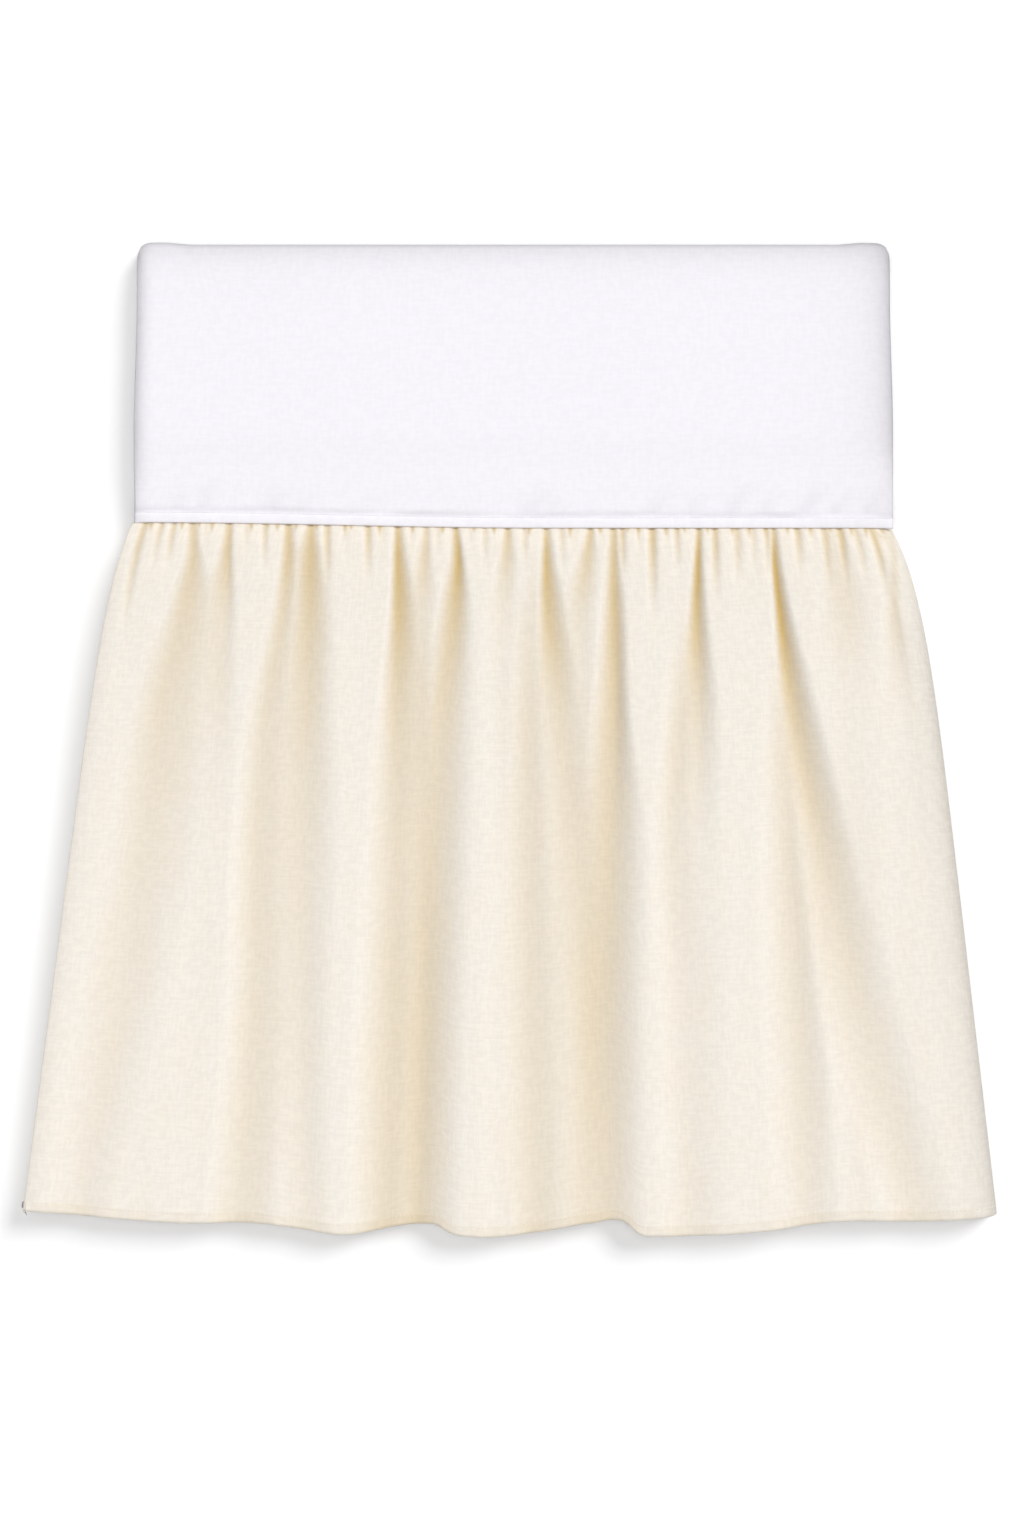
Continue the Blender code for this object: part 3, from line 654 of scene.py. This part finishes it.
# The deck is folded back and forth into a pad behind the seam.
deck = {
    "cloth": 1.3 * mm, "cadCloth": 1.6 * mm, "layers": 8, "height": 23.6 * mm, "depth": 186 * mm,
    "rearReach": 6 * mm, "innerBefore": 2 * mm,    # the inner rear folds end this much before the outer one
    "slopeLength": 60 * mm, "slopeFoot": 6.9 * mm, "lastRows": (5.1 * mm, 3.3 * mm),
    "narrowBy": 2 * mm, "narrowFrom": 60 * mm, "narrowOver": 90 * mm,
    "ear": 1.4 * mm, "earFrom": 0.86, "earOver": 0.08,
    "cornerCut": 4 * mm, "cutFrom": 0.97, "rearFrom": 130 * mm, "rearOver": 50 * mm,
    "topRelief": 0.25 * mm, "reliefFrom": 20 * mm, "reliefOver": 30 * mm,
    # painted shade in the puckers and where the pad rounds down at its sides, less near the seam, and
    # painted light on its slope down to the seam
    "puckerRelief": 0.7 * mm, "puckerShade": 0.09, "puckerStart": 6,
    "leftShade": 0.3, "slopeShade": 0.5, "slopeLight": 0.045,
    # a line of painted shade lies above the band and fades to the right
    "seamLineShade": 0.17, "seamLineAt": 8.6 * mm, "seamLineHalf": 2.2 * mm,
    "lineWaver": 0.8 * mm, "lineShare": 0.8, "lineUneven": 0.5,
    "lineFade": 0.7, "fadeFrom": 185 * mm, "fadeOver": 40 * mm,
    "columns": 150, "columnsCloser": 0.6, "topRows": 72, "topRowsPower": 1.7, "bottomRows": 10,
    "innerSteps": 8, "rearSteps": 26,
    "flat": (0.495, 1.41),
}

# the folded layers from the bottom one up, in millimetres: front end, inset at the left, at the right
deckLayers = (
    (12, 2.0, 3.0), (12, 3.5, 7.0), (15.5, 1.5, 5.5), (15.5, 3.0, 8.0), (19, 4.0, 6.5), (19, 2.0, 8.5),
    (22, 3.0, 6.0),
)

# The pad rounds down at its rear fold too: how far in from it, in millimetres, and the share of its height
# that it keeps there
rearSide = (
    (0, 0.55), (2, 0.66), (5, 0.76), (9, 0.83), (13, 0.88), (18, 0.925), (26, 0.965), (40, 0.99), (60, 1.0),
)

# Puckers above the band, in millimetres: across, length, lean to the right, depth, reach
puckers = (
    (-222, 16, 6, 0.8, 4), (-205, 22, 10, 0.9, 4), (-160, 20, 9, 0.8, 5), (-140, 14, 5, 0.6, 4),
    (-95, 12, 4, 0.5, 4), (8, 20, 12, 0.9, 5), (24, 14, 7, 0.6, 4), (88, 22, 14, 0.9, 5),
    (112, 16, 9, 0.8, 4), (138, 24, 16, 1.0, 5), (160, 18, 11, 0.8, 4), (186, 24, 16, 1.0, 5),
    (206, 18, 12, 0.9, 4), (228, 20, 10, 0.9, 4),
)


def layerHeight(level):
    pitch = (deck["height"] - deck["cadCloth"]) / (deck["layers"] - 1)
    return deck["cadCloth"] / 2 + level * pitch


padBottom, padTop = layerHeight(0), layerHeight(deck["layers"] - 1)


def keptRear(y):
    return curveThrough(*zip(*rearSide), (deck["depth"] - y) / mm)


def slopeShare(y):
    # from 0 at the seam to 1 where the pad has its full height
    return smoothStep((y - deck["slopeFoot"]) / (deck["slopeLength"] - deck["slopeFoot"]))


def foldArc(y, z, reach, half, first, last, steps):
    angles = np.radians(np.linspace(first, last, steps + 1))
    return [(y + reach * math.cos(angle), z + half * math.sin(angle)) for angle in angles]


def deckPath():
    # the cloth from its free end inside the pad to the seam: distance behind the seam, height, inset at the
    # left and at the right
    layers = np.array(deckLayers) * mm
    half = (layerHeight(1) - layerHeight(0)) / 2
    rearMiddle = deck["depth"] - deck["cadCloth"] / 2 - deck["rearReach"]
    rear = rearMiddle - deck["innerBefore"] - half
    innerTop = deck["layers"] - 2
    path = [(layers[innerTop][0], layerHeight(innerTop), *layers[innerTop][1:])]
    for level in range(innerTop, 0, -1):
        z = layerHeight(level) - half
        insets = (layers[level][1:] + layers[level - 1][1:]) / 2
        if (innerTop - level) % 2 == 0:
            start, turn = layers[level][0], foldArc(rear, z, half, half, 90, -90, deck["innerSteps"])
        else:
            front = layers[level - 1][0] + half
            start, turn = rear, foldArc(front, z, half, half, 90, 270, deck["innerSteps"])
        for share in (0.15, 0.5, 0.85):
            path.append((start + (turn[0][0] - start) * share, layerHeight(level), *insets))
        path += [(y, height, *insets) for y, height in turn]
    for y in np.linspace(layers[0][0] + 2 * half, rearMiddle, deck["bottomRows"])[1:-1]:
        path.append((y, padBottom, *layers[0][1:]))
    foldStart = len(path)
    steps = deck["rearSteps"]
    middle, halfPad = (padBottom + padTop) / 2, (padTop - padBottom) / 2
    fold = foldArc(rearMiddle, middle, deck["rearReach"], halfPad, -90, 90, steps)
    path += [(y, z, *(layers[0][1:] * (1 - step / steps))) for step, (y, z) in enumerate(fold)]
    closer = np.linspace(1, 0, deck["topRows"])[1:] ** deck["topRowsPower"]  # closer together near the seam
    tops = deck["slopeFoot"] + (rearMiddle - deck["slopeFoot"]) * closer
    path += [(y, padTop, 0.0, 0.0) for y in (*tops, *deck["lastRows"])]
    return path, foldStart


def padHeight(x, y, z):
    # the pad is squeezed towards its sides and towards the seam
    full = padBottom + (padTop - padBottom) * keptHeight(x) * keptRear(y)
    edge = seamHeight(x) - seam["clearance"] - deck["cadCloth"] / 2
    height = edge + (full - edge) * slopeShare(y)
    return padBottom + (z - padBottom) * (height - padBottom) / (padTop - padBottom)


def puckerDepth(x, y):
    # soft hollows that run up from the seam, in millimetres
    up = max(y - deck["slopeFoot"], 0.0)
    total = np.zeros_like(x)
    for middle, length, lean, depth, reach in puckers:
        run = up / (length * mm)
        if run < 1:
            offset = (x - (middle + lean * run) * mm) / (reach * mm * (1 + run))
            total = total + depth * (1 - run) * smoothStep(run * deck["puckerStart"]) * np.exp(-offset**2)
    return total


def deckRelief(x, y):
    # the puckers and a barely uneven top
    uneven = deck["topRelief"] * ripples(x, y, 60 * mm, 70 * mm, 9)
    uneven = uneven * smoothStep((y - deck["reliefFrom"]) / deck["reliefOver"])
    return uneven - deck["puckerRelief"] * puckerDepth(x, y)


def paintedDeckShade(x, y, z, kept):
    # painted shade where the pad rounds down, along a line above the band and in the puckers, and painted
    # light on the slope down to the seam
    near = 1 - deck["slopeShade"] * (1 - smoothStep((y - deck["slopeFoot"]) / deck["slopeLength"]))
    fall = 1 - (1 - (1 - kept) * near * np.where(x < 0, deck["leftShade"], 1)) * keptRear(y)
    fall = 1 - (1 - fall) * (z - padBottom) / (padTop - padBottom)
    lineAt = deck["seamLineAt"] + deck["lineWaver"] * ripples(x, 0.0, 30 * mm, 30 * mm, 14)
    line = deck["seamLineShade"] * np.exp(-(((y - lineAt) / deck["seamLineHalf"]) ** 2))
    line = line * (deck["lineShare"] + deck["lineUneven"] * ripples(x, 0.0, 16 * mm, 30 * mm, 13))
    line = line * (1 - deck["lineFade"] * smoothStep((x - deck["fadeFrom"]) / deck["fadeOver"]))
    slope = slopeShare(y)
    light = deck["slopeLight"] * 4 * slope * (1 - slope)
    return fall + (line + deck["puckerShade"] * puckerDepth(x, y) - light) * (z > padBottom)


def deckShape():
    path, foldStart = deckPath()
    even = np.linspace(-1, 1, deck["columns"] + 1)
    closer = deck["columnsCloser"]  # at the sides
    across = closer * np.sin(even * math.pi / 2) + (1 - closer) * even
    kept = keptHeight(across * seam["halfWidth"])
    ear = deck["ear"] * smoothStep((np.abs(across) - deck["earFrom"]) / deck["earOver"])
    cut = np.clip((np.abs(across) - deck["cutFrom"]) / (1 - deck["cutFrom"]), 0, 1)
    corner = ear - deck["cornerCut"] * (1 - np.sqrt(1 - cut**2))
    middle, halfPad = (padBottom + padTop) / 2, (padTop - padBottom) / 2
    rows, shades = [], []
    for step, (y, z, insetLeft, insetRight) in enumerate(path):
        narrower = deck["narrowBy"] * smoothStep((y - deck["narrowFrom"]) / deck["narrowOver"])
        halfWidth = seam["halfWidth"] - narrower
        x = across * (halfWidth - np.where(across < 0, insetLeft, insetRight))
        height = padHeight(x * seam["halfWidth"] / halfWidth, y, z)
        rowY = np.full_like(x, y)
        if step >= foldStart and z > middle:
            rowY = y + seamLine(x) * (1 - slopeShare(y))
            height = height + deckRelief(x, y) * (z - middle) / halfPad
        rowY = rowY + corner * smoothStep((y - deck["rearFrom"]) / deck["rearOver"])
        rows.append(np.stack([x, rowY, height], 1))
        shades.append(paintedDeckShade(x, y, z, kept) if step >= foldStart else np.zeros_like(x))
    return np.stack(rows), np.stack(shades)


def makeDeck():
    shape, shades = deckShape()
    downFlat = wayAlong(shape[:, shape.shape[1] // 2])
    flatCut = (shape[-1, :, 0], downFlat)
    print("deck flat length", round(float(downFlat[-1]), 3))
    return clothPiece("foldedDeck", shape, flatCut, {"paintedLightAndShade": shades}, deck["cloth"], cotton)


deckPiece = makeDeck()
print("deck done")

# The band is a narrow strip, topstitched over the join.
band = {
    "cloth": 0.8 * mm, "width": 6.3 * mm, "overhang": 0.3 * mm,
    "crown": 0.65 * mm, "crownPower": 0.4, "puffs": 0.3,
    # painted shade and painted light on the puffs, and painted shade towards the right end
    "puffShade": 0.025, "puffLight": 0.012,
    "rightShade": 0.07, "shadeFrom": 170 * mm, "shadeOver": 75 * mm,
    "columns": 260, "rows": 12,
    "stitchRow": 10,
    "stitch": {"pitch": 2.9 * mm, "length": 2.2 * mm, "radius": 0.2 * mm, "proud": 0.06 * mm},
    "flat": (0.495, 0.025),
}


def makeBand():
    across = np.linspace(-1, 1, band["columns"] + 1)[None, :] * seam["halfWidth"]
    up = np.linspace(0, 1, band["rows"] + 1)[:, None]
    x = np.broadcast_to(across, (band["rows"] + 1, band["columns"] + 1))
    puff = 1 + band["puffs"] * ripples(x, up * mm, 6 * mm, 9 * mm, 21)
    crown = band["crown"] * np.sin(math.pi * up) ** band["crownPower"] * puff
    y = seamLine(x) - band["overhang"] + band["width"] * up
    z = seamHeight(x) + band["cloth"] / 2 + crown
    shape = np.stack([x, y, z], 2)
    # painted shade and painted light on the puffs, and painted shade towards the right end
    shades = band["puffShade"] * np.abs(ripples(x, up * mm, 5 * mm, 9 * mm, 33)) - band["puffLight"]
    shades = shades + band["rightShade"] * smoothStep((x - band["shadeFrom"]) / band["shadeOver"])
    flatCut = (across[0], up[:, 0] * band["width"])
    piece = clothPiece("seamBand", shape, flatCut, {"paintedLightAndShade": shades}, band["cloth"], cotton)
    normals = surfaceNormals(shape)
    row = band["stitchRow"]
    stitches = stitchRow(
        "bandStitches", shape[row], normals[row], band["cloth"], band["stitch"], whiteThread
    )
    return piece, stitches


bandPiece, bandStitches = makeBand()
print("band done")

# what each piece rides on and stands for
for piece, node, slotName in (
    (panelPiece, "drop_panel", "panel_linen"),
    (deckPiece, "deck", "deck_cotton"),
    (bandPiece, "seam_band", "band_cotton"),
):
    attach(piece, "root")
    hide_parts(node)
for piece, slotName in ((hemStitches, "panel_linen"), (bandStitches, "band_cotton")):
    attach(piece, "root")

studio = {
    "pixel": 0.653 * mm, "columns": 1024, "rows": 1536, "seamColumn": 514, "seamRow": 527,
    "cameraAway": 1.5, "framedHeight": 15 * mm, "sensor": 36, "tableHalf": 4,
    "key": {"from": (0.707, 0.707, 0.81), "softness": 28, "power": 1.75},
    "top": {"from": (-0.06, -0.04, 1.0), "softness": 50, "power": 1.6},
    "world": 0.24,
}


def makeTable():
    bm = bmesh.new()
    bmesh.ops.create_grid(bm, x_segments=1, y_segments=1, size=studio["tableHalf"])
    table = sceneObject("table", bm)
    material, tree, shader = newMaterial("white table")
    shader.inputs["Base Color"].default_value = (0.96, 0.96, 0.962, 1)
    shader.inputs["Roughness"].default_value = 0.9
    shader.inputs["Specular IOR Level"].default_value = 0.1
    table.data.materials.append(material)


def makeLight(name, light):
    data = bpy.data.lights.new(name, "SUN")  # a far softbox: the same all over the table
    data.angle = math.radians(light["softness"])
    data.energy = light["power"]
    lamp = bpy.data.objects.new(name, data)
    lamp.rotation_euler = Vector(light["from"]).to_track_quat("Z", "Y").to_euler()
    bpy.context.scene.collection.objects.link(lamp)


def makeCamera():
    pixel = studio["pixel"]
    data = bpy.data.cameras.new("camera")
    data.sensor_fit = "VERTICAL"
    data.sensor_height = studio["sensor"]
    data.lens = studio["sensor"] * studio["cameraAway"] / (studio["rows"] * pixel)
    camera = bpy.data.objects.new("camera", data)
    camera.location = (
        seam["x"] + (studio["columns"] / 2 - studio["seamColumn"]) * pixel,
        seam["y"] - (studio["rows"] / 2 - studio["seamRow"]) * pixel,
        studio["framedHeight"] + studio["cameraAway"],
    )
    bpy.context.scene.collection.objects.link(camera)
    bpy.context.scene.camera = camera


makeTable()
makeLight("key light", studio["key"])
makeLight("top light", studio["top"])
world = bpy.data.worlds.new("studio")
world.use_nodes = True
world.node_tree.nodes["Background"].inputs[0].default_value = (1, 1, 1, 1)
world.node_tree.nodes["Background"].inputs[1].default_value = studio["world"]
bpy.context.scene.world = world
bpy.context.scene.view_settings.view_transform = "Standard"
makeCamera()
print("studio ready")

bpy.context.view_layer.update()
